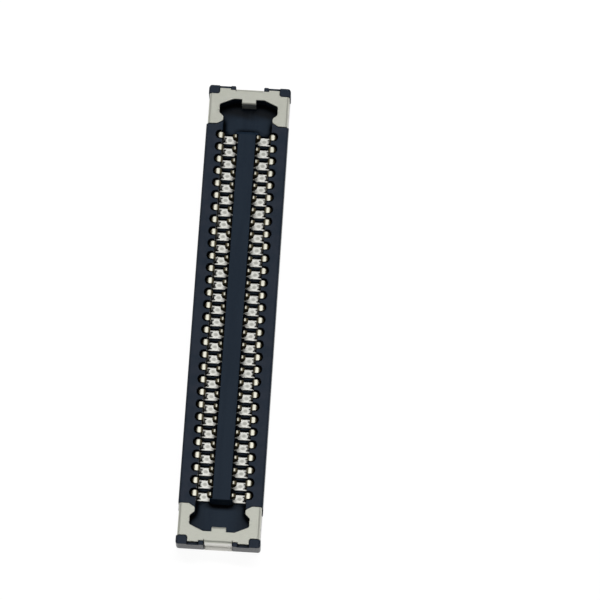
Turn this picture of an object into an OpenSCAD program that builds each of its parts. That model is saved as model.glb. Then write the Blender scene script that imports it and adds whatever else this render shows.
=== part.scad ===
// Fine pitch board to board receptacle: a moulded housing with two rows of
// formed contacts round a plug trough, and a stamped hold-down at each end.
// X runs across the rows, Y along them and Z up from the solder plane.
// All sizes are in millimetres.

/* [Contact rows] */
// Contacts in each of the two rows
contacts_per_row = 30; // [10:1:50]
// Spacing of the contacts along a row
pitch = 0.35; // [0.34:0.01:0.5]

/* [Housing] */
// Width over the side walls
housing_w = 2.26; // [2.24:0.02:3]
// Top of the side walls above the solder plane
wall_top = 0.58; // [0.54:0.01:0.8]
// Gap left under the housing by the solder feet
standoff = 0.03; // [0.015:0.005:0.04]
// Top of the trough floor above the solder plane
floor_top = 0.14; // [0.12:0.01:0.18]
// From the last contact of a row to the end of the housing
end_margin = 1.425; // [1.4:0.025:2]
// Space between the island and each side wall
slot_w = 0.365; // [0.34:0.005:0.38]
// Chamfer along the outer top edges of the side walls
wall_chamfer = 0.05; // [0.02:0.01:0.1]
// Radius of the upright corner edges
corner_r = 0.08; // [0.03:0.01:0.1]
// Thickness of the ribs between neighbouring floor windows
rib_t = 0.045; // [0.04:0.005:0.1]
// Radius of the rounded clearance behind each contact hook
scallop_r = 0.125; // [0.12:0.005:0.15]
// Depth that a scallop reaches behind the contact cell
scallop_depth = 0.04; // [0.03:0.01:0.08]
// Foot of the scallops above the solder plane
scallop_foot = 0.3; // [0.2:0.02:0.4]

/* [Island] */
// Width of the island at its ends
island_w = 0.62; // [0.58:0.02:0.68]
// Top of the island above the solder plane
island_top = 0.4; // [0.36:0.01:0.46]
// Width of the island roof between the two rows of spring tips
roof_w = 0.48; // [0.4:0.02:0.5]
// Thickness of the island roof
roof_t = 0.1; // [0.06:0.01:0.12]
// How far the ribs beside the roof lie below the island's top
rib_drop = 0.13; // [0.125:0.005:0.2]
// Thickness of the spine under the roof
spine_t = 0.09; // [0.06:0.01:0.14]
// From the last contact of a row to the foot of the island's end
island_overrun = 0.22; // [0.18:0.01:0.26]
// Length of the ramp on the island's end
ramp_l = 0.11; // [0.06:0.01:0.12]
// Height of the ramp on the island's end
ramp_h = 0.15; // [0.06:0.01:0.18]
// Radius of the island's upright corner edges
island_r = 0.08; // [0.03:0.01:0.12]

/* [Contact] */
// Thickness of the contact strip
strip_t = 0.05; // [0.04:0.005:0.06]
// Inside radius of the contact bends
bend_r = 0.03; // [0.02:0.005:0.04]
// Width of the hook and its outer leg
contact_w = 0.19; // [0.16:0.01:0.2]
// Width of the inner leg between the hook and the floor run
neck_w = 0.1; // [0.08:0.01:0.12]
// Length of the hook's lip on the inner leg
lip_l = 0.12; // [0.1:0.01:0.2]
// Width of the run along the floor
run_w = 0.24; // [0.2:0.01:0.25]
// Width of the solder tail
tail_w = 0.12; // [0.08:0.01:0.15]
// Width of the spring arm
spring_w = 0.14; // [0.08:0.01:0.15]
// Flat on top of the hook between its two bends
hook_flat = 0.045; // [0.005:0.005:0.05]
// How far the hook stands out of the side wall into the trough
hook_proud = 0.06; // [0.04:0.01:0.07]
// How far the hook lies below the top of the side wall
hook_drop = 0.05; // [0.02:0.01:0.1]
// Underside of the floor run above the solder plane
run_gap = 0.05; // [0.04:0.005:0.06]
// Height at which the tail widens into the retained leg
shoulder_h = 0.12; // [0.11:0.01:0.2]
// Length of the taper from the floor run to the spring arm
taper_l = 0.05; // [0.03:0.01:0.14]
// Gap between the spine and the root of the spring
root_gap = 0.135; // [0.12:0.005:0.15]
// How far the spring's bend stands out of the island's side
tip_proud = 0.075; // [0.05:0.005:0.08]
// Height of the spring's bend above the island's top
tip_rise = 0.08; // [0.05:0.01:0.1]
// Length of the curled end of the spring
curl_l = 0.1; // [0.1:0.005:0.12]
// Direction of the curled end, from the horizontal
curl_angle = 180; // [150:5:180]

/* [Hold-down] */
// Thickness of the hold-down sheet
sheet_t = 0.07; // [0.06:0.01:0.08]
// Inside radius of the sheet's bends
sheet_bend_r = 0.01; // [0.005:0.005:0.03]
// How far the plate stands above the side walls
plate_proud = 0.02; // [0:0.01:0.05]
// From the end of the housing to the tips of the arms
arm_l = 1.12; // [1.08:0.01:1.14]
// Length of the slanted nose of each arm
nose_l = 0.1; // [0.06:0.01:0.12]
// Width of the slanted nose of each arm
nose_w = 0.17; // [0.1:0.01:0.2]
// Step from the housing's side in to the side skirts
side_step = 0.03; // [0.02:0.01:0.05]
// Step from the housing's end in to the plate's edge
ledge_w = 0.08; // [0.06:0.01:0.1]
// Width of the end skirt and its solder foot
end_skirt_w = 0.75; // [0.6:0.01:0.8]
// Width of each side leg along the housing
leg_w = 0.34; // [0.25:0.01:0.36]
// Space between the two side legs
leg_gap = 0.07; // [0.05:0.01:0.1]
// Height of the opening between the two side legs
leg_split_h = 0.2; // [0.15:0.01:0.3]
// Width of the tab that bends down into the pocket
tab_w = 0.39; // [0.3:0.01:0.5]
// How far the tab reaches into the pocket
tab_reach = 0.14; // [0.13:0.01:0.2]
// Lower ends of the tab and the side springs above the solder plane
spring_foot = 0.22; // [0.19:0.01:0.3]

/* [Plug pocket] */
// From the end of the housing to the pocket
end_wall = 0.38; // [0.36:0.01:0.4]
// Width of the pocket's straight end
pocket_end_w = 0.84; // [0.7:0.01:1]
// Width of the pocket between its side springs
pocket_w = 1.6; // [1.5:0.01:1.66]
// From the end of the housing to the pocket's widest stretch
pocket_wide_start = 0.55; // [0.5:0.01:0.6]
// Length of the pocket's widest stretch
pocket_wide_l = 0.24; // [0.2:0.01:0.26]
// Length of the taper from there to the trough
pocket_taper_l = 0.11; // [0.08:0.01:0.12]
// Radius of the pocket's corners
pocket_r = 0.07; // [0.02:0.01:0.08]

/* [End block] */
// Width of the corner posts across the housing
post_w = 0.3; // [0.2:0.01:0.31]
// Length of the corner posts along the housing
post_l = 0.235; // [0.2:0.005:0.24]
// Radius of the corner posts' inner corner
post_r = 0.07; // [0.02:0.01:0.08]
// Width of the nubs beside the end skirt
nub_w = 0.12; // [0.06:0.01:0.13]
// Length of the nubs beside the end skirt
nub_l = 0.11; // [0.1:0.01:0.14]
// Length of the groove under the front end block
groove_l = 1.0; // [0.6:0.05:1.2]
// Width of the groove under the front end block
groove_w = 0.15; // [0.1:0.01:0.2]
// Depth of the groove under the front end block
groove_depth = 0.06; // [0.03:0.01:0.08]
// From the end of the housing to the groove
groove_start = 0.3; // [0.26:0.01:0.34]

/* [Fit] */
// Clearance between metal and plastic beside a seat
fit = 0.01; // [0.005:0.005:0.015]

/* [Hidden] */
$fn = 48;
bend_step = 15;
over = 0.05;
PLASTIC = [0.15, 0.18, 0.22];
NICKEL = [0.75, 0.74, 0.69];
GOLD = [0.9, 0.83, 0.66];

// Housing planes
row_l = (contacts_per_row - 1) * pitch;
half_l = row_l / 2 + end_margin;
half_w = housing_w / 2;
island_x = island_w / 2;
wall_x = island_x + slot_w;
roof_z = island_top - roof_t;
window_w = pitch - rib_t;

// Contact planes, on the middle of the strip
strip_r = bend_r + strip_t / 2;
inner_leg_x = wall_x - hook_proud + strip_t / 2;
outer_leg_x = inner_leg_x + 2 * strip_r + hook_flat;
cell_x = outer_leg_x + strip_t / 2;
hook_z = wall_top - hook_drop - strip_t / 2;
run_z = run_gap + strip_t / 2;
root = [spine_t / 2 + root_gap, run_z];
tip = [island_x + tip_proud, island_top + tip_rise];
lean = atan2(tip[1] - root[1], tip[0] - root[0]);
neck_z = hook_z - lip_l;
blade_x = inner_leg_x - strip_r - fit;
ear_x = inner_leg_x + strip_t / 2;
spring_x = root[0] + strip_r * tan(90 - lean / 2) + fit;

// Hold-down planes, with U measured from the end of the housing inwards
sheet_r = sheet_bend_r + sheet_t / 2;
seat_z = wall_top + plate_proud - sheet_t;
plate_z = seat_z + sheet_t / 2;
skirt_x = half_w - side_step - sheet_t;
flat_x = skirt_x - sheet_bend_r;
end_skirt_u = ledge_w + sheet_t;
flat_u = end_skirt_u + sheet_bend_r;
post_x = half_w - post_w;
nub_x = end_skirt_w / 2 + 2 * fit;
side_spring_x = pocket_w / 2 + sheet_t / 2;
side_crease_x = side_spring_x + sheet_r;
side_spring_start = pocket_wide_start + pocket_r;
side_spring_l = pocket_wide_l - 2 * pocket_r;
leg_starts = [post_l + fit, post_l + fit + leg_w + leg_gap];

function pair_name(i) = str("contact_pair_", i < 10 ? "0" : "", i);

// Plane geometry of bent strips and rounded outlines
function unit(v) = v / norm(v);
function left_of(d) = [-d[1], d[0]];
function turned(d, a) = [d[0] * cos(a) - d[1] * sin(a), d[0] * sin(a) + d[1] * cos(a)];
function turn(a, b) = atan2(a[0] * b[1] - a[1] * b[0], a * b);
function flipped(list) = [for (i = [len(list) - 1:-1:0]) list[i]];
function with_mirror(half) = concat(half, [for (p = flipped(half)) [-p[0], p[1]]]);

// Arc that rounds a corner to radius r, shifted to the left of the path
function bend(before, corner, after, r, shift = 0) =
    let (into = unit(corner - before),
         angle = turn(into, unit(after - corner)),
         reach = sign(angle) * r,
         centre = corner - r * tan(abs(angle) / 2) * into + reach * left_of(into),
         steps = max(2, ceil(abs(angle) / bend_step)))
    [for (i = [0:steps]) centre - (reach - shift) * left_of(turned(into, angle * i / steps))];

// One face of a strip whose middle follows the path
function strip_face(path, r, shift) =
    let (last = len(path) - 1)
    [path[0] + shift * left_of(unit(path[1] - path[0])),
     for (i = [1:1:last - 1]) each bend(path[i - 1], path[i], path[i + 1], r, shift),
     path[last] + shift * left_of(unit(path[last] - path[last - 1]))];

// Largest radius that a corner between two edges has room for
function corner_room(before, corner, after) =
    min(norm(corner - before), norm(after - corner)) / 2
    / tan(abs(turn(corner - before, after - corner)) / 2);

// Closed outline with every corner rounded to radius r, or less on short edges
function rounded(points, r) =
    let (n = len(points))
    [for (i = [0:n - 1])
        let (before = points[(i + n - 1) % n], corner = points[i], after = points[(i + 1) % n])
        each bend(before, corner, after, min(r, corner_room(before, corner, after)))];

// Strip bent along a path in the X and Z plane, with its width along Y
module bent_strip(path, t, middle_r, w) {
    rotate([90, 0, 0])
        linear_extrude(w, center = true)
            polygon(concat(strip_face(path, middle_r, t / 2),
                           flipped(strip_face(path, middle_r, -t / 2))));
}

// Outline in the X and Z plane, drawn out from y0 to y1
module along_y(points, y0, y1) {
    translate([0, y1, 0])
        rotate([90, 0, 0])
            linear_extrude(y1 - y0)
                polygon(points);
}

module box(x0, x1, y0, y1, z0, z1) {
    translate([x0, y0, z0])
        cube([x1 - x0, y1 - y0, z1 - z0]);
}

// Both sides of the centre line
module both_sides() {
    children();
    mirror([1, 0, 0])
        children();
}

// What is drawn with Y as U, put at the rear end of the housing
module at_rear_end() {
    translate([0, half_l, 0])
        mirror([0, 1, 0])
            children();
}

module at_front_end() {
    translate([0, -half_l, 0])
        children();
}

// Edge of the plug pocket on one side, from its end to the trough
function pocket_edge(wide_x) = [[pocket_end_w / 2, end_wall],
                                [wide_x, pocket_wide_start],
                                [wide_x, pocket_wide_start + pocket_wide_l],
                                [wall_x, pocket_wide_start + pocket_wide_l + pocket_taper_l]];

// Plug trough with its two end pockets
module trough() {
    edge = pocket_edge(side_crease_x);
    rear = [for (p = edge) [p[0], half_l - p[1]]];
    front = [for (p = flipped(edge)) [p[0], p[1] - half_l]];
    translate([0, 0, floor_top])
        linear_extrude(wall_top)
            polygon(rounded(with_mirror(concat(rear, front)), pocket_r));
}

// Rectangular block with chamfered side walls and rounded upright corners
module block() {
    plan = with_mirror([[half_w, half_l], [half_w, -half_l]]);
    slope = [[half_w + over, wall_top - wall_chamfer - over],
             [half_w + over, wall_top + over],
             [half_w - wall_chamfer - over, wall_top + over]];
    difference() {
        translate([0, 0, standoff])
            linear_extrude(wall_top - standoff)
                polygon(rounded(plan, corner_r));
        both_sides()
            along_y(slope, -half_l - over, half_l + over);
    }
}

// Island between the two rows, ramped at its ends and rebated beside its roof
module island() {
    end_y = row_l / 2 + island_overrun;
    rebate_y = row_l / 2 + spring_w / 2 + 2 * fit;
    section = with_mirror([[end_y, standoff],
                           [end_y, island_top - ramp_h],
                           [end_y - ramp_l, island_top]]);
    plan = with_mirror([[island_x, end_y], [island_x, -end_y]]);
    difference() {
        intersection() {
            rotate([90, 0, 90])
                linear_extrude(island_w, center = true)
                    polygon(section);
            linear_extrude(wall_top)
                polygon(rounded(plan, island_r));
        }
        both_sides()
            box(roof_w / 2, island_x + over, -rebate_y, rebate_y,
                island_top - rib_drop, island_top + over);
    }
}

// Space in the housing for one contact, on the +X side
module contact_cell() {
    under = standoff - over;
    window = [[spine_t / 2, under],
              [wall_x, under],
              [wall_x, floor_top + over],
              [island_x + over, floor_top + over],
              [island_x + over, roof_z],
              [spine_t / 2, roof_z]];
    tail_slot = [[cell_x - over, under],
                 [half_w + over, under],
                 [half_w + over, strip_t],
                 [cell_x + bend_r, strip_t],
                 [cell_x, strip_t + bend_r],
                 [cell_x - over, strip_t + bend_r]];
    along_y(window, -window_w / 2, window_w / 2);
    along_y(tail_slot, -tail_w / 2 - fit, tail_w / 2 + fit);
    box(wall_x - over, cell_x, -contact_w / 2 - fit, contact_w / 2 + fit, under, wall_top + over);
    translate([cell_x + scallop_depth - scallop_r, 0, scallop_foot])
        cylinder(h = wall_top, r = scallop_r);
}

// Plan of a corner post, grown by a clearance
module post_plan(grow) {
    corner = [[post_x - grow, -half_w],
              [housing_w, -half_w],
              [housing_w, post_l + grow],
              [post_x - grow, post_l + grow]];
    polygon(rounded(corner, post_r));
}

// Plan of a nub beside the end skirt, grown by a clearance
module nub_plan(grow) {
    translate([nub_x - grow, -over])
        square([nub_w + 2 * grow, nub_l + grow + over]);
}

// Space at an end of the housing for its hold-down
module hold_down_seat() {
    arm_edge = with_mirror([[housing_w, -over],
                            [housing_w, arm_l + fit],
                            [wall_x + nose_w, arm_l + fit],
                            [wall_x, arm_l - nose_l + fit]]);
    side_relief = [[flat_x, seat_z + over],
                   [flat_x, seat_z],
                   [skirt_x, seat_z - sheet_bend_r],
                   [skirt_x + over, seat_z - sheet_bend_r],
                   [skirt_x + over, seat_z + over]];
    end_relief = [[end_skirt_u - over, seat_z + over],
                  [end_skirt_u - over, seat_z - sheet_bend_r],
                  [end_skirt_u, seat_z - sheet_bend_r],
                  [flat_u, seat_z],
                  [flat_u, seat_z + over]];
    skirt_half = end_skirt_w / 2 + fit;
    translate([0, 0, seat_z])
        linear_extrude(wall_top)
            difference() {
                polygon(arm_edge);
                both_sides() {
                    post_plan(0);
                    nub_plan(0);
                }
            }
    both_sides() {
        along_y(side_relief, post_l, arm_l + fit);
        box(skirt_x, half_w + over, post_l, arm_l + fit, leg_split_h - fit, seat_z + over);
        for (start = leg_starts)
            box(skirt_x, half_w + over, start - fit, start + leg_w + fit, 0, leg_split_h);
    }
    rotate([0, 0, 90])
        along_y(end_relief, -skirt_half, skirt_half);
    box(-skirt_half, skirt_half, -over, end_skirt_u, 0, wall_top + over);
}

// Moulded housing in one piece
module housing() {
    color(PLASTIC)
        difference() {
            union() {
                difference() {
                    block();
                    trough();
                }
                island();
            }
            at_rear_end()
                hold_down_seat();
            at_front_end() {
                hold_down_seat();
                box(-groove_l / 2, groove_l / 2, groove_start, groove_start + groove_w,
                    0, standoff + groove_depth);
            }
            for (i = [1:contacts_per_row])
                translate([0, contact_y(i), 0])
                    both_sides()
                        contact_cell();
        }
}

// Plan of the hold-down's plate, with its cut-outs
module plate_plan() {
    opening = with_mirror(concat(pocket_edge(pocket_w / 2),
                                 [[wall_x, arm_l - nose_l],
                                  [wall_x + 2 * nose_w, arm_l + nose_l],
                                  [wall_x + 2 * nose_w, 2 * arm_l]]));
    skirt_half = end_skirt_w / 2 + fit;
    difference() {
        translate([-flat_x, ledge_w])
            square([2 * flat_x, arm_l - ledge_w]);
        polygon(rounded(opening, pocket_r));
        translate([-skirt_half, 0])
            square([2 * skirt_half, flat_u]);
        both_sides() {
            post_plan(fit);
            nub_plan(fit);
            translate([wall_x, side_spring_start])
                square([side_crease_x - wall_x, side_spring_l]);
        }
    }
}

// Skirt on the +X side, over a length of the housing and down to a height
module side_skirt(start, length, foot) {
    x = skirt_x + sheet_t / 2;
    translate([0, start + length / 2, 0])
        bent_strip([[flat_x - over, plate_z], [x, plate_z], [x, foot]], sheet_t, sheet_r, length);
}

// Stamped and bent hold-down in one piece, with Y as U
module hold_down() {
    end_u = ledge_w + sheet_t / 2;
    tab_u = end_wall + tab_reach - sheet_t / 2;
    color(NICKEL)
        union() {
            translate([0, 0, seat_z])
                linear_extrude(sheet_t)
                    plate_plan();
            rotate([0, 0, 90]) {
                bent_strip([[flat_u + over, plate_z], [end_u, plate_z], [end_u, sheet_t / 2], [0, sheet_t / 2]],
                           sheet_t, sheet_r, end_skirt_w);
                bent_strip([[end_wall - over, plate_z], [tab_u, plate_z], [tab_u, spring_foot]],
                           sheet_t, sheet_r, tab_w);
            }
            both_sides() {
                side_skirt(post_l + fit, arm_l - post_l - fit, leg_split_h);
                for (start = leg_starts)
                    side_skirt(start, leg_w, 0);
                translate([0, side_spring_start + side_spring_l / 2, 0])
                    bent_strip([[side_crease_x + over, plate_z],
                                [side_spring_x, plate_z],
                                [side_spring_x, spring_foot]],
                               sheet_t, sheet_r, side_spring_l);
            }
        }
}

module front_hold_down() {
    at_front_end()
        hold_down();
}

module rear_hold_down() {
    at_rear_end()
        hold_down();
}

// Formed contact on the +X side: tail, hook, neck, floor run and spring in one strip
module contact() {
    tail = [[half_w, strip_t / 2], [outer_leg_x, strip_t / 2], [outer_leg_x, shoulder_h]];
    hook = [[outer_leg_x, shoulder_h], [outer_leg_x, hook_z], [inner_leg_x, hook_z], [inner_leg_x, neck_z]];
    neck = [[inner_leg_x, neck_z], [inner_leg_x, run_z], [blade_x, run_z]];
    spring = [[spring_x, run_z], root, tip, tip + curl_l * [cos(curl_angle), sin(curl_angle)]];
    ear_y = neck_w / 2 + fit;
    half_blade = [[blade_x, ear_y], [ear_x, ear_y], [ear_x, run_w / 2],
                  [spring_x + taper_l, run_w / 2], [spring_x, spring_w / 2]];
    bent_strip(tail, strip_t, strip_r, tail_w);
    bent_strip(hook, strip_t, strip_r, contact_w);
    bent_strip(neck, strip_t, strip_r, neck_w);
    bent_strip(spring, strip_t, strip_r, spring_w);
    translate([0, 0, run_gap])
        linear_extrude(strip_t)
            polygon(concat(half_blade, [for (p = flipped(half_blade)) [p[0], -p[1]]]));
}

function contact_y(i) = (i - 1) * pitch - row_l / 2;

// Two facing contacts, counted from the front end
module contact_pair(i) {
    color(GOLD)
        translate([0, contact_y(i), 0])
            both_sides()
                contact();
}

housing();
front_hold_down();
rear_hold_down();
for (i = [1:contacts_per_row])
    contact_pair(i);
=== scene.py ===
"""Dresses a fine pitch board to board receptacle and sets it in a white studio.

Everything is in metres in the part's own frame: X runs across the two rows, Y along them
and Z up from the solder plane. Sizes that are easier to read in millimetres carry MM.
"""
import logging
import math
from dataclasses import dataclass
from enum import Enum
from typing import Dict, List, Optional, Sequence, Tuple, Union

import bmesh
import bpy
from mathutils import Matrix, Vector


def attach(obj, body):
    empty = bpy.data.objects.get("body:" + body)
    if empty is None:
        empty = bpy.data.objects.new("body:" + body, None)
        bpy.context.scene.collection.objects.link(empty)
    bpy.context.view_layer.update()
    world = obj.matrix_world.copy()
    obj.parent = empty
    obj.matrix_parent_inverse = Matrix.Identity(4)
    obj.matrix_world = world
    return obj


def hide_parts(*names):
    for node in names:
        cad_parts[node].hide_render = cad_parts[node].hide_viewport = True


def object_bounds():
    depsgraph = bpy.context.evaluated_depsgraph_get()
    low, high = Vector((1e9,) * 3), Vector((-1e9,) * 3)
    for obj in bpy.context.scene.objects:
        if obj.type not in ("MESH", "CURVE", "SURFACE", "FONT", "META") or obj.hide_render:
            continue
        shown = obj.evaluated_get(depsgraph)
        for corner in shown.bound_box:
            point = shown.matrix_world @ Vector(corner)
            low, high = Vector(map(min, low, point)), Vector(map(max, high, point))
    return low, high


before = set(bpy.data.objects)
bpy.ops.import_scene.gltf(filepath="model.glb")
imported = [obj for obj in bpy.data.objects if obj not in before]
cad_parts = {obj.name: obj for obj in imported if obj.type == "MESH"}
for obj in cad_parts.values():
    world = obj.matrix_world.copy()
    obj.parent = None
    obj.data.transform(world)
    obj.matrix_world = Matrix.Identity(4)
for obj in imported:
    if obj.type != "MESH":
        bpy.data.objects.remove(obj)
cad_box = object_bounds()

MM = 0.001
# Unit in which edges are rounded, because a metre is too coarse for them
FINE = 0.01 * MM
# Profile of a rounded edge that makes its section a circle's arc
ROUND_PROFILE = 0.5
# Level that noise varies around
NOISE_MEAN = 0.5
# Rays that test how open a face is
SKY_SAMPLES = 8
BODY = "root"
log = logging.getLogger("receptacle")

Colour = Tuple[float, float, float]
Point = Tuple[float, float, float]
Span = Tuple[float, float]
Term = Union["Value", float, int, Sequence[float]]


class Slot(Enum):
    """The record's material slots."""

    HOUSING = "housing"
    HOLD_DOWN = "hold_down"
    CONTACT = "contact"


class LampShape(Enum):
    """Outlines of a soft lamp."""

    STRIP = "RECTANGLE"
    ROUND = "DISK"


class Value:
    """A shader socket that Python's operators can work with."""

    def __init__(self, graph: "Graph", socket: Optional[bpy.types.NodeSocket]) -> None:
        """Keeps a socket and the graph that new nodes go into."""
        self.graph = graph
        self.socket = socket

    def math(self, operation: str, *terms: Term) -> "Value":
        """Adds one Math node.

        Args:
            operation: Blender's name for the operation.
            terms: The node's inputs, in order.

        Returns:
            The node's result.
        """
        return self.graph.node("ShaderNodeMath", {"operation": operation}, dict(enumerate(terms)))

    def __add__(self, other: Term) -> "Value":
        """Sum of two values."""
        return self.math("ADD", self, other)

    def __sub__(self, other: Term) -> "Value":
        """Difference of two values."""
        return self.math("SUBTRACT", self, other)

    def __rsub__(self, other: Term) -> "Value":
        """Difference with the value taken away."""
        return self.math("SUBTRACT", other, self)

    def __mul__(self, other: Term) -> "Value":
        """Product of two values."""
        return self.math("MULTIPLY", self, other)

    __radd__ = __add__
    __rmul__ = __mul__

    def __abs__(self) -> "Value":
        """Size of the value without its sign."""
        return self.math("ABSOLUTE", self)

    def either(self, other: Term) -> "Value":
        """The larger of two values."""
        return self.math("MAXIMUM", self, other)

    def wrapped(self, span: float) -> "Value":
        """Distance from the middle of the span that the value falls in."""
        return self.math("WRAP", self, span, 0.0) - span / 2

    def sway(self, amount: float) -> "Value":
        """Noise as a change to both sides of 0, over the amount in all."""
        return amount * (self - NOISE_MEAN)

    def eased(self, low: float, high: float) -> "Value":
        """Smooth step.

        Args:
            low: Where the step leaves 0.
            high: Where it reaches 1.

        Returns:
            A value from 0 to 1.
        """
        settings = {"interpolation_type": "SMOOTHSTEP"}
        return self.graph.node("ShaderNodeMapRange", settings, {0: self, 1: low, 2: high})

    def below(self, level: float, soft: float) -> "Value":
        """1 below a level and 0 above it, with a slope that reaches soft to each side."""
        return 1 - self.eased(level - soft, level + soft)

    def between(self, low: float, high: float, soft: float) -> "Value":
        """Band with soft sides.

        Args:
            low: Lower side of the band.
            high: Upper side of the band.
            soft: Half the width of each side's slope.

        Returns:
            1 inside the band and 0 outside it.
        """
        return self.eased(low - soft, low + soft) * self.below(high, soft)


class Graph:
    """A node tree that is written as expressions."""

    def __init__(self, tree: bpy.types.NodeTree) -> None:
        """Takes over an empty node tree."""
        self.tree = tree

    def node(self, kind: str, settings: Optional[dict] = None, inputs: Optional[dict] = None,
             output: Union[int, str] = 0) -> Value:
        """Adds a node of any type.

        Args:
            kind: Blender's name for the node's type.
            settings: The node's own properties, which are set first.
            inputs: Values or links for its sockets, by name or number.
            output: Name or number of the socket that is returned.

        Returns:
            The chosen output, or an empty value for a node that has none.
        """
        node = self.tree.nodes.new(kind)
        for name, setting in (settings or {}).items():
            setattr(node, name, setting)
        for name, term in (inputs or {}).items():
            self.feed(node.inputs[name], term)
        return Value(self, node.outputs[output] if node.outputs else None)

    def feed(self, socket: bpy.types.NodeSocket, term: Term) -> None:
        """Links a value to a socket, or sets the socket.

        Args:
            socket: The socket to fill.
            term: A value to link, or a number, colour or vector to set.
        """
        if isinstance(term, Value):
            self.tree.links.new(term.socket, socket)
        elif isinstance(term, (int, float)):
            socket.default_value = term
        else:
            socket.default_value = list(term) + [1.0] * (len(socket.default_value) - len(term))

    def mix(self, share: Term, first: Term, second: Term) -> Value:
        """Blends two colours.

        Args:
            share: How much of the second colour shows.
            first: Colour at a share of 0.
            second: Colour at a share of 1.

        Returns:
            The blended colour.
        """
        settings = {"data_type": "RGBA", "clamp_factor": True}
        # The colour sockets come after those for numbers and vectors
        return self.node("ShaderNodeMix", settings, {0: share, 6: first, 7: second}, output=2)

    def place(self) -> Value:
        """Place on the object, in metres."""
        return self.node("ShaderNodeTexCoord", output="Object")

    def axis(self, vector: Value, name: str) -> Value:
        """One part of a vector, by its axis name."""
        return self.node("ShaderNodeSeparateXYZ", inputs={0: vector}, output=name)

    def noise(self, grain: float, stretch: Point = (1.0, 1.0, 1.0), detail: float = 3.0) -> Value:
        """Noise that is fixed to the object.

        Args:
            grain: Size of a spot in metres.
            stretch: How much longer a spot is along each axis.
            detail: Number of finer layers.

        Returns:
            A value around NOISE_MEAN.
        """
        scale = tuple(1.0 / length for length in stretch)
        drawn = self.node("ShaderNodeVectorMath", {"operation": "MULTIPLY"}, {0: self.place(), 1: scale})
        inputs = {"Vector": drawn, "Scale": 1.0 / grain, "Detail": detail}
        return self.node("ShaderNodeTexNoise", inputs=inputs)

    def open_sky(self, reach: Term, alone: bool = True) -> Value:
        """Works out how open the view from a face is.

        Args:
            reach: How far away something still closes the view, in metres.
            alone: Whether only the piece itself can close it.

        Returns:
            1 for an open face, less in a hollow.
        """
        settings = {"only_local": alone, "samples": SKY_SAMPLES}
        return self.node("ShaderNodeAmbientOcclusion", settings, {"Distance": reach}, output="AO")

    def bump(self, height: Value, depth: float) -> Value:
        """Normal of a surface with a relief.

        Args:
            height: Relief from 0 to 1.
            depth: Depth of the relief in metres.

        Returns:
            The normal.
        """
        return self.node("ShaderNodeBump", inputs={"Height": height, "Distance": depth})


def new_material(name: str) -> Tuple[bpy.types.Material, Graph]:
    """Makes an empty node material.

    Args:
        name: Name of the material.

    Returns:
        The material and its graph.
    """
    material = bpy.data.materials.new(name)
    material.use_nodes = True
    material.node_tree.nodes.clear()
    return material, Graph(material.node_tree)


class Finish:
    """A surface finish that a Principled shader can show."""

    def inputs(self, graph: Graph) -> Dict[str, Term]:
        """Values and links of the shader's sockets."""
        raise NotImplementedError

    def material(self, name: str) -> bpy.types.Material:
        """Makes a material with one Principled shader.

        Args:
            name: Name of the material.

        Returns:
            The material.
        """
        material, graph = new_material(name)
        shader = graph.node("ShaderNodeBsdfPrincipled", inputs=self.inputs(graph))
        graph.node("ShaderNodeOutputMaterial", inputs={"Surface": shader})
        return material


@dataclass(frozen=True)
class MouldedPlastic(Finish):
    """Dark satin resin with a spark-eroded mould texture and faint flow streaks; the rim's tops are
    painted lighter in patches, a painted sheen.

    Its hollows get painted shade and are duller, and in the end pockets only their corners do.
    """

    dark: Colour = (0.0100, 0.0190, 0.0330)
    pale: Colour = (0.0130, 0.0230, 0.0380)
    rim_sheen: Colour = (0.0220, 0.0290, 0.0440)
    painted_shade: Colour = (0.0006, 0.0010, 0.0016)
    streak: float = 0.30 * MM
    streak_stretch: Point = (1.0, 6.0, 1.0)
    streak_step: Span = (0.35, 0.65)
    streak_sway: float = 0.1
    grain: float = 0.016 * MM
    grain_detail: float = 2.0
    grain_sway: float = 0.16
    relief: float = 0.0012 * MM
    rim: Span = (0.50 * MM, 0.56 * MM)
    sheen_least: float = 0.25
    sheen_step: Span = (0.3, 0.7)
    hollow: float = 0.30 * MM
    pocket_hollow: float = 0.16 * MM
    pocket_start: Span = (5.24 * MM, 5.34 * MM)
    clear_step: Span = (0.70, 0.99)
    roughness: float = 0.28
    dulled: float = 0.7
    specular: float = 0.12

    def sheen_patches(self, graph: Graph) -> Value:
        """How much painted sheen a face gets, in patches along the rim."""
        patches = self.sheen_least + (1 - self.sheen_least) * graph.noise(self.streak).eased(*self.sheen_step)
        return graph.axis(graph.place(), "Z").eased(*self.rim) * patches

    def clear(self, graph: Graph) -> Value:
        """Tells open faces from hollows, which get painted shade.

        Args:
            graph: The material's graph.

        Returns:
            1 on an open face and 0 far inside a hollow.
        """
        pocket = abs(graph.axis(graph.place(), "Y")).eased(*self.pocket_start)
        reach = self.hollow + (self.pocket_hollow - self.hollow) * pocket
        return graph.open_sky(reach).eased(*self.clear_step)

    def inputs(self, graph: Graph) -> Dict[str, Term]:
        """Works out the shader's sockets.

        Args:
            graph: The material's graph.

        Returns:
            Values and links by the sockets' names.
        """
        streaks = graph.noise(self.streak, self.streak_stretch)
        grain = graph.noise(self.grain, detail=self.grain_detail)
        # Painted shade: the more closed in a face is, the nearer its colour goes to the near-black shade
        # colour.
        clear = self.clear(graph)
        face = graph.mix(streaks.eased(*self.streak_step), self.dark, self.pale)
        # Painted sheen: faces on the rim are lightened in patches.
        face = graph.mix(self.sheen_patches(graph), face, self.rim_sheen)
        uneven = grain.sway(self.grain_sway) + streaks.sway(self.streak_sway)
        return {
            "Base Color": graph.mix(clear, self.painted_shade, face),
            "Roughness": self.roughness + self.dulled * (1 - clear) + uneven,
            "Specular IOR Level": self.specular,
            "Normal": graph.bump(grain, self.relief),
        }


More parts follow.
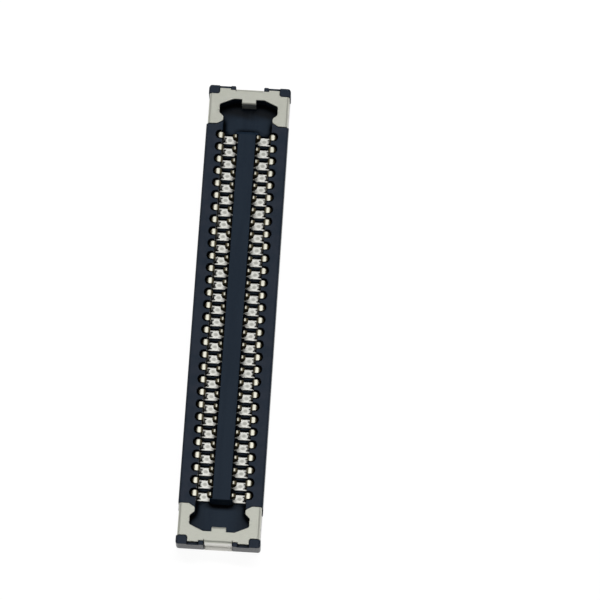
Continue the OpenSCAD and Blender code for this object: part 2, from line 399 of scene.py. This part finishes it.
@dataclass(frozen=True)
class NickelSheet(Finish):
    """Warm satin nickel on rolled sheet, with fine rolling lines; the end skirt is painted near
    white, a painted reflection of the bright table in front of it.

    The bent parts down in the plug pocket get painted shade.
    """

    dull: Colour = (0.63, 0.64, 0.56)
    bright: Colour = (0.71, 0.72, 0.64)
    skirt_glare: Colour = (0.96, 0.95, 0.90)
    painted_shade: Colour = (0.05, 0.05, 0.045)
    line: float = 0.012 * MM
    line_stretch: Point = (14.0, 1.0, 1.0)
    line_share: float = 0.6
    line_sway: float = 0.14
    cloud: float = 0.25 * MM
    cloud_sway: float = 0.1
    tone_step: Span = (0.3, 0.7)
    relief: float = 0.0006 * MM
    glare_start: Span = (6.38 * MM, 6.40 * MM)
    glare_top: Span = (0.48 * MM, 0.52 * MM)
    hollow: float = 0.30 * MM
    clear_step: Span = (0.30, 0.70)
    pocket_side: Span = (0.90 * MM, 0.95 * MM)
    pocket_end: Span = (6.15 * MM, 6.20 * MM)
    metal: float = 0.72
    roughness: float = 0.45

    def skirt(self, graph: Graph) -> Value:
        """Marks the end skirt, below its bend to the plate.

        Args:
            graph: The material's graph.

        Returns:
            1 on the skirt and 0 elsewhere.
        """
        place = graph.place()
        outermost = abs(graph.axis(place, "Y")).eased(*self.glare_start)
        return outermost * (1 - graph.axis(place, "Z").eased(*self.glare_top))

    def clear(self, graph: Graph) -> Value:
        """Tells open faces from those down in the plug pocket, which get painted shade.

        Args:
            graph: The material's graph.

        Returns:
            1 on an open face or outside the pocket, less in its shade.
        """
        place = graph.place()
        beside = abs(graph.axis(place, "X")).eased(*self.pocket_side)
        beyond = abs(graph.axis(place, "Y")).eased(*self.pocket_end)
        lit = graph.open_sky(self.hollow, alone=False).eased(*self.clear_step)
        return lit.either(beside.either(beyond))

    def inputs(self, graph: Graph) -> Dict[str, Term]:
        """Works out the shader's sockets.

        Args:
            graph: The material's graph.

        Returns:
            Values and links by the sockets' names.
        """
        lines = graph.noise(self.line, self.line_stretch)
        cloud = graph.noise(self.cloud)
        tone = self.line_share * lines + (1 - self.line_share) * cloud
        face = graph.mix(tone.eased(*self.tone_step), self.dull, self.bright)
        # Painted reflection: the end skirt is painted near white for the bright table it mirrors.
        face = graph.mix(self.skirt(graph), face, self.skirt_glare)
        # Painted shade: closed-in faces down in the plug pocket go towards the dark shade colour.
        return {
            "Base Color": graph.mix(self.clear(graph), self.painted_shade, face),
            "Metallic": self.metal,
            "Roughness": self.roughness + lines.sway(self.line_sway) + cloud.sway(self.cloud_sway),
            "Normal": graph.bump(lines, self.relief),
        }


@dataclass(frozen=True)
class StripPlace:
    """Where a point lies on a contact strip.

    across is its distance from the middle of the part, beside its distance from the middle of
    the strip and height its distance from the solder plane. wander makes borders uneven.
    """

    across: Value
    beside: Value
    height: Value
    wander: Value


@dataclass(frozen=True)
class PlatedStrip(Finish):
    """Formed contact strip: gold on its tail, hook and spring, bare nickel along the floor run.

    The flanks of hooks and springs get painted shade, darker than their crowns, and each run is
    painted darker in an oval in its middle. Painted shade lies in a band on the inner leg and in
    the strip's hollows.
    """

    gold: Colour = (0.88, 0.855, 0.70)
    pale_gold: Colour = (0.92, 0.905, 0.79)
    flank_shade: Colour = (0.20, 0.165, 0.09)
    nickel: Colour = (0.95, 0.95, 0.89)
    dark_middle: Colour = (0.50, 0.50, 0.455)
    leg_shade: Colour = (0.045, 0.043, 0.036)
    painted_shade: Colour = (0.02, 0.02, 0.017)
    pitch: float = 0.35 * MM
    border: float = 0.02 * MM
    border_grain: float = 0.10 * MM
    run_top: float = 0.13 * MM
    run_inner: float = 0.20 * MM
    run_outer: float = 0.70 * MM
    spot_middle: float = 0.475 * MM
    spot_half: Span = (0.075 * MM, 0.058 * MM)
    spot_step: Span = (0.0, 1.2)
    leg_half: float = 0.054 * MM
    leg_inner: float = 0.592 * MM
    leg_outer: float = 0.690 * MM
    leg_top: float = 0.38 * MM
    leg_soft: float = 0.006 * MM
    crown: Span = (0.519 * MM, 0.529 * MM)
    crown_wander: float = 0.1
    tip_drop: float = 0.025 * MM
    tip_side: Span = (0.45 * MM, 0.55 * MM)
    tail_top: Span = (0.14 * MM, 0.22 * MM)
    hollow: float = 0.20 * MM
    clear_step: Span = (0.45, 0.85)
    line: float = 0.008 * MM
    line_stretch: Point = (8.0, 1.0, 8.0)
    line_step: Span = (0.3, 0.7)
    line_sway: float = 0.12
    relief: float = 0.0004 * MM
    metal: float = 0.78
    matt: float = 0.23
    roughness: float = 0.3

    def where(self, graph: Graph) -> StripPlace:
        """Finds a point's place on its strip.

        Args:
            graph: The material's graph.

        Returns:
            The place, in metres.
        """
        place = graph.place()
        return StripPlace(
            across=abs(graph.axis(place, "X")),
            beside=abs(graph.axis(place, "Y").wrapped(self.pitch)),
            height=graph.axis(place, "Z"),
            wander=graph.noise(self.border_grain).sway(self.border),
        )

    def run(self, at: StripPlace) -> Value:
        """1 along the floor run and 0 elsewhere."""
        low = (at.height + at.wander).below(self.run_top, self.border)
        return low * (at.across + at.wander).between(self.run_inner, self.run_outer, self.border)

    def painted_dark_middle(self, at: StripPlace) -> Value:
        """Marks the oval in the middle of a run that is painted darker.

        Args:
            at: Place on the strip.

        Returns:
            1 in the middle of the oval, fading to 0 outside it.
        """
        half_across, half_beside = self.spot_half
        sideways = (at.across - self.spot_middle) * (1 / half_across)
        lengthways = at.beside * (1 / half_beside)
        return 1 - (sideways * sideways + lengthways * lengthways).eased(*self.spot_step)

    def bright(self, at: StripPlace) -> Value:
        """Marks where the gold shows in full: tails, and crowns of hooks and of the lower spring tips;
        below the crowns the sides get painted shade.

        Args:
            at: Place on the strip.

        Returns:
            1 on a crown or a tail and 0 on the sides of hooks and springs, which get painted shade.
        """
        raised = at.height + self.tip_drop * (1 - at.across.eased(*self.tip_side))
        crown = (raised + self.crown_wander * at.wander).eased(*self.crown)
        return crown.either(1 - at.height.eased(*self.tail_top))

    def inner_leg(self, at: StripPlace) -> Value:
        """Marks the band of painted shade on the narrow inner leg.

        Args:
            at: Place on the strip.

        Returns:
            1 on the band and 0 elsewhere.
        """
        narrow = at.beside.below(self.leg_half, self.leg_soft)
        low = at.height.below(self.leg_top, self.leg_soft)
        return narrow * low * at.across.between(self.leg_inner, self.leg_outer, self.leg_soft)

    def inputs(self, graph: Graph) -> Dict[str, Term]:
        """Works out the shader's sockets.

        Args:
            graph: The material's graph.

        Returns:
            Values and links by the sockets' names.
        """
        at = self.where(graph)
        run = self.run(at)
        lines = graph.noise(self.line, self.line_stretch)
        gold = graph.mix(lines.eased(*self.line_step), self.gold, self.pale_gold)
        # Painted shade: below the crowns, hooks and springs take the dark flank colour.
        formed = graph.mix(self.bright(at), self.flank_shade, gold)
        # Painted darker oval in the middle of each run.
        along_floor = graph.mix(self.painted_dark_middle(at), self.nickel, self.dark_middle)
        plate = graph.mix(run, formed, along_floor)
        # Painted shade: a dark band on the narrow inner leg.
        plate = graph.mix(self.inner_leg(at), plate, self.leg_shade)
        # Painted shade: the strip's hollows go towards the near-black shade colour.
        clear = graph.open_sky(self.hollow).eased(*self.clear_step)
        return {
            "Base Color": graph.mix(clear, self.painted_shade, plate),
            "Metallic": self.metal - self.matt * run,
            "Roughness": self.roughness + lines.sway(self.line_sway),
            "Normal": graph.bump(lines, self.relief),
        }


@dataclass
class RoundedSolid:
    """A solid of the frame, shown as a copy whose sharp edges are rounded."""

    node: str
    edge: float
    slot: Slot
    label: str
    segments: int = 2
    weld: float = 0.0006 * MM
    flat: float = math.radians(1.0)
    sharp: float = math.radians(28.0)
    crease: float = math.radians(50.0)

    def shape(self) -> bpy.types.Mesh:
        """Welds the node's triangles into faces and rounds the edges between them.

        Returns:
            The rounded mesh, in metres.
        """
        shape = bmesh.new()
        shape.from_mesh(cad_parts[self.node].data)
        shape.transform(Matrix.Scale(1 / FINE, 4))
        bmesh.ops.remove_doubles(shape, verts=shape.verts, dist=self.weld / FINE)
        bmesh.ops.dissolve_limit(shape, angle_limit=self.flat, verts=shape.verts, edges=shape.edges,
                                 use_dissolve_boundaries=False)
        self.reshape(shape)
        edges = [edge for edge in shape.edges
                 if edge.is_manifold and edge.is_convex and edge.calc_face_angle() > self.sharp]
        bmesh.ops.bevel(shape, geom=edges, offset=self.edge / FINE, offset_type="OFFSET",
                        segments=self.segments, profile=ROUND_PROFILE, affect="EDGES")
        normals = self.normals(shape)
        shape.transform(Matrix.Scale(FINE, 4))
        mesh = bpy.data.meshes.new(self.node + "_" + self.label)
        shape.to_mesh(mesh)
        shape.free()
        mesh.shade_smooth()
        mesh.normals_split_custom_set(normals)
        return mesh

    def reshape(self, shape: bmesh.types.BMesh) -> None:
        """Changes the welded shape before its edges are rounded; a plain solid stays as it is."""

    def normals(self, shape: bmesh.types.BMesh) -> List[Vector]:
        """Works out normals that keep flat faces flat and make bends and rounded edges even.

        Args:
            shape: The rounded shape.

        Returns:
            A normal for each corner of each face, in order.
        """
        shape.normal_update()
        areas = {face: face.calc_area() for face in shape.faces}
        normals = []
        for face in shape.faces:
            for corner in face.loops:
                near = [other for other in corner.vert.link_faces
                        if other.normal.dot(face.normal) > math.cos(self.crease)]
                normals.append(sum((areas[other] * other.normal for other in near), Vector()).normalized())
        return normals

    def build(self) -> bpy.types.Object:
        """Makes the piece that stands for the node.

        Returns:
            The piece, on its body.
        """
        mesh = self.shape()
        piece = bpy.data.objects.new(mesh.name, mesh)
        bpy.context.scene.collection.objects.link(piece)
        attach(piece, BODY)
        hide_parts(self.node)
        return piece

    def dress(self, piece: bpy.types.Object, material: bpy.types.Material) -> None:
        """Gives the piece its finish."""
        piece.data.materials.clear()
        piece.data.materials.append(material)


@dataclass
class Housing(RoundedSolid):
    """The moulded housing."""

    node: str = "housing"
    edge: float = 0.010 * MM
    slot: Slot = Slot.HOUSING
    label: str = "moulding"
    nub_span: Span = (5.84 * MM, 5.92 * MM)
    nub_face: float = 1.10 * MM
    nub_top: float = 0.25 * MM

    def reshape(self, shape: bmesh.types.BMesh) -> None:
        """Sets the nub between each pair of solder legs flush with them.

        Args:
            shape: The welded shape, in units of FINE.
        """
        low, high = (end / FINE for end in self.nub_span)
        face = self.nub_face / FINE
        for vert in shape.verts:
            if low < abs(vert.co.y) < high and abs(vert.co.x) > face and vert.co.z < self.nub_top / FINE:
                vert.co.x = math.copysign(face, vert.co.x)


@dataclass
class HoldDown(RoundedSolid):
    """A stamped hold-down with the soft edges of a blanked sheet."""

    edge: float = 0.012 * MM
    slot: Slot = Slot.HOLD_DOWN
    label: str = "sheet"
    spring_face: float = 0.80 * MM
    spring_span: Span = (5.77 * MM, 5.89 * MM)
    bend: float = 0.08 * MM
    bend_skin: float = 0.9

    def reshape(self, shape: bmesh.types.BMesh) -> None:
        """Draws the tight bends of the side springs out to the plate's edge.

        Only the outer skin of a bend moves, past bend_skin of its radius.

        Args:
            shape: The welded shape, in units of FINE.
        """
        top = max(vert.co.z for vert in shape.verts)
        reach = self.bend / FINE
        skin = self.bend_skin * reach
        middle = self.spring_face / FINE + reach
        low, high = (end / FINE for end in self.spring_span)
        for vert in shape.verts:
            out = middle - abs(vert.co.x)
            up = vert.co.z - top + reach
            if low < abs(vert.co.y) < high and out > 0 and up > 0 and math.hypot(out, up) > skin:
                grow = reach / max(out, up)
                vert.co.x = math.copysign(middle - out * grow, vert.co.x)
                vert.co.z = top - reach + up * grow


@dataclass
class ContactPair(RoundedSolid):
    """Two facing contacts with the coined edges of a fine strip."""

    edge: float = 0.023 * MM
    slot: Slot = Slot.CONTACT
    label: str = "strips"
    segments: int = 3
    hook_middle: float = 0.7025 * MM
    hook_reach: float = 0.120 * MM
    hook_foot: float = 0.38 * MM
    tip_middle: float = 0.325 * MM
    tip_grow: float = 1.25
    tip_narrow: float = 0.75
    tip_foot: float = 0.40 * MM

    def reshape(self, shape: bmesh.types.BMesh) -> None:
        """Gives each hook an oval plan and each spring tip a rounder one.

        Args:
            shape: The welded shape, in units of FINE.
        """
        middle = sum(vert.co.y for vert in shape.verts) / len(shape.verts)
        hook, reach, tip = (size / FINE for size in (self.hook_middle, self.hook_reach, self.tip_middle))
        halfway = (hook + tip) / 2
        for vert in shape.verts:
            across = abs(vert.co.x)
            narrow = 1.0
            if across > halfway and vert.co.z > self.hook_foot / FINE:
                narrow = math.sqrt(1 - ((across - hook) / reach) ** 2)
            elif across < halfway and vert.co.z > self.tip_foot / FINE:
                vert.co.x = math.copysign(tip + (across - tip) * self.tip_grow, vert.co.x)
                narrow = self.tip_narrow
            vert.co.y = middle + (vert.co.y - middle) * narrow


@dataclass(frozen=True)
class SoftLamp:
    """A soft lamp that hangs over the part and faces it."""

    name: str
    shape: LampShape
    size: Span
    power: float
    height: float
    turn: float = 0.0
    distance: float = 0.3
    in_gloss: bool = True
    in_shade: bool = True

    def build(self) -> bpy.types.Object:
        """Hangs the lamp.

        Returns:
            The lamp.
        """
        light = bpy.data.lights.new(self.name, "AREA")
        light.shape = self.shape.value
        light.size, light.size_y = self.size
        light.energy = self.power
        lamp = bpy.data.objects.new(self.name, light)
        flat = math.cos(self.height)
        way = Vector((-flat * math.sin(self.turn), flat * math.cos(self.turn), math.sin(self.height)))
        lamp.location = way * self.distance
        lamp.rotation_euler = way.to_track_quat("Z", "Y").to_euler()
        lamp.visible_camera = False
        lamp.visible_glossy = self.in_gloss
        lamp.visible_diffuse = self.in_shade
        bpy.context.scene.collection.objects.link(lamp)
        return lamp


@dataclass(frozen=True)
class Studio:
    """White table under a dim dome, with a long lamp behind the part and a round one above it.

    The dome shows a pale band of haze, so that metal has something to mirror from the sides.
    """

    floor_size: float = 4.0
    floor_colour: Colour = (0.10, 0.10, 0.10)
    floor_glow: float = 0.95
    floor_gap: float = 0.0005 * MM
    covered_edge: float = 0.05 * MM
    horizon: float = 0.10
    zenith: float = 0.20
    rise: Span = (0.0, 0.85)
    haze: float = 0.45
    haze_band: Span = (0.38, 0.74)
    haze_soft: float = 0.12
    lamps: Tuple[SoftLamp, ...] = (
        SoftLamp("key", LampShape.STRIP, size=(0.4, 0.05), power=0.88, height=math.radians(54.0),
                 turn=math.radians(-8.0), in_gloss=False),
        SoftLamp("top", LampShape.ROUND, size=(0.28, 0.28), power=0.216, height=math.radians(90.0),
                 in_shade=False),
    )

    def seen_rays(self, graph: Graph) -> Value:
        """1 for the rays that show the table: to the camera, in gloss and through glass."""
        camera, gloss, glass = (graph.node("ShaderNodeLightPath", output=f"Is {kind} Ray")
                                for kind in ("Camera", "Glossy", "Transmission"))
        return camera.either(gloss).either(glass)

    def under_part_shadow(self, graph: Graph) -> Value:
        """Marks where the part stands over the table, where the glow is cut out as a painted shadow.

        Args:
            graph: The table's graph.

        Returns:
            1 under the part and 0 beside it.
        """
        place = graph.place()
        inside = [(half - abs(graph.axis(place, name))).eased(0.0, self.covered_edge)
                  for name, half in zip("XY", cad_box[1])]
        return inside[0] * inside[1]

    def floor(self) -> bpy.types.Object:
        """Lays the white table under the solder plane.

        Returns:
            The floor.
        """
        half = self.floor_size / 2
        mesh = bpy.data.meshes.new("floor")
        corners = [(-half, -half, 0), (half, -half, 0), (half, half, 0), (-half, half, 0)]
        mesh.from_pydata(corners, [], [(0, 1, 2, 3)])
        table = bpy.data.objects.new("floor", mesh)
        table.location.z = cad_box[0][2] - self.floor_gap
        bpy.context.scene.collection.objects.link(table)
        material, graph = new_material("white_table")
        diffuse = graph.node("ShaderNodeBsdfDiffuse", inputs={"Color": self.floor_colour})
        # Painted shadow: the glow is cut out where the part stands over the table.
        strength = self.floor_glow * self.seen_rays(graph) * (1 - self.under_part_shadow(graph))
        glow = graph.node("ShaderNodeEmission", inputs={"Strength": strength})
        both = graph.node("ShaderNodeAddShader", inputs={0: diffuse, 1: glow})
        graph.node("ShaderNodeOutputMaterial", inputs={"Surface": both})
        mesh.materials.append(material)
        return table

    def sky(self) -> None:
        """Hangs the dome: it lights the part dimly from above and shows its haze in gloss."""
        world = bpy.data.worlds.new("sky")
        world.use_nodes = True
        world.node_tree.nodes.clear()
        graph = Graph(world.node_tree)
        up = graph.axis(graph.node("ShaderNodeTexCoord", output="Generated"), "Z")
        level = self.horizon + (self.zenith - self.horizon) * up.eased(*self.rise)
        shown = self.zenith + (self.haze - self.zenith) * up.between(*self.haze_band, self.haze_soft)
        level = level + (shown - level) * self.seen_rays(graph)
        background = graph.node("ShaderNodeBackground", inputs={"Strength": level})
        graph.node("ShaderNodeOutputWorld", inputs={"Surface": background})
        bpy.context.scene.world = world

    def build(self) -> List[bpy.types.Object]:
        """Sets up the table, the dome and the lamps.

        Returns:
            The table and the lamps.
        """
        table = self.floor()
        self.sky()
        return [table] + [lamp.build() for lamp in self.lamps]


@dataclass(frozen=True)
class PhotoCamera:
    """The camera's place and lens, as they were fitted to the picture's frame."""

    frame_px: float = 600.0
    focal_px: float = 3756.0
    place: Point = (4.257 * MM, -29.610 * MM, 97.641 * MM)
    tilt: float = math.radians(17.206)
    swing: float = math.radians(1.411)
    roll: float = math.radians(3.329)
    sensor: float = 36.0
    clip: Span = (1 * MM, 100.0)

    def build(self) -> bpy.types.Object:
        """Makes the scene's camera.

        Returns:
            The camera.
        """
        lens = bpy.data.cameras.new("camera")
        lens.sensor_fit = "HORIZONTAL"
        lens.sensor_width = self.sensor
        lens.lens = self.sensor * self.focal_px / self.frame_px
        lens.clip_start, lens.clip_end = self.clip
        camera = bpy.data.objects.new("camera", lens)
        turn = (Matrix.Rotation(self.tilt, 4, "X") @ Matrix.Rotation(self.swing, 4, "Y")
                @ Matrix.Rotation(self.roll, 4, "Z"))
        camera.matrix_world = Matrix.Translation(self.place) @ turn
        bpy.context.scene.collection.objects.link(camera)
        bpy.context.scene.camera = camera
        return camera


def nodes_named(words: str) -> List[str]:
    """Names of the frame's nodes that hold the given words, in order."""
    return sorted(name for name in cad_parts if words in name)


def main() -> None:
    """Sets up the studio, then builds and dresses the part piece by piece."""
    logging.basicConfig(level=logging.INFO, format="%(message)s")
    bpy.context.scene.view_settings.view_transform = "Standard"
    for thing in [PhotoCamera().build()] + Studio().build():
        log.info("placed %s", thing.name)
    finishes = {
        Slot.HOUSING: MouldedPlastic().material("moulded_resin"),
        Slot.HOLD_DOWN: NickelSheet().material("satin_nickel"),
        Slot.CONTACT: PlatedStrip().material("plated_strip"),
    }
    solids: List[RoundedSolid] = [Housing()]
    solids += [HoldDown(name) for name in nodes_named("hold_down")]
    solids += [ContactPair(name) for name in nodes_named("contact_pair")]
    for solid in solids:
        piece = solid.build()
        solid.dress(piece, finishes[solid.slot])
        log.info("built %s with %d faces", piece.name, len(piece.data.polygons))


if __name__ == "__main__":
    main()
